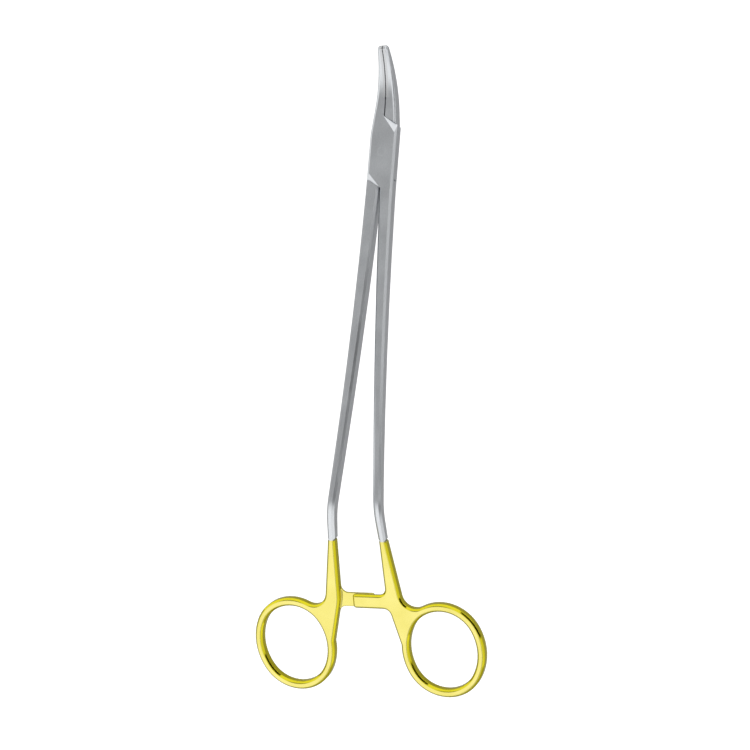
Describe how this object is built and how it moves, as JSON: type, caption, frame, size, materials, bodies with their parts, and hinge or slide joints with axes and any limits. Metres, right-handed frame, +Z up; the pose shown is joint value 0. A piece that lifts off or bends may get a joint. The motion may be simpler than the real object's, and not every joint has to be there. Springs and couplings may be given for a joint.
{
  "type": "needle holder",
  "caption": "Long slim needle holder with box lock, curved jaws with cross-cut hard metal inserts, angled shanks, ratchet and bent ring handles.",
  "frame": {"origin": "on the table, halfway along the instrument and on its middle plane", "axes": "+Y from the rings toward the jaw tips, +Z up, +X toward the ring of the box half"},
  "size_m": [0.086, 0.2286, 0.0247],
  "materials": {
    "satin_steel": "satin stainless steel, handles gold plated and polished",
    "hard_metal": "ground hard metal with a cross-cut pattern"
  },
  "bodies": {
    "box": {"box_half": "satin_steel", "lock_pin": "satin_steel", "left_jaw_insert": "hard_metal"},
    "tongue": {"tongue_half": "satin_steel", "right_jaw_insert": "hard_metal"}
  },
  "joints": [
    {"name": "box_lock", "type": "hinge", "parent": "box", "child": "tongue", "pos_m": [0, 0.07601, 0.00493], "axis": [0, -0.1412, -0.99], "range_deg": [0, 50]}
  ]
}
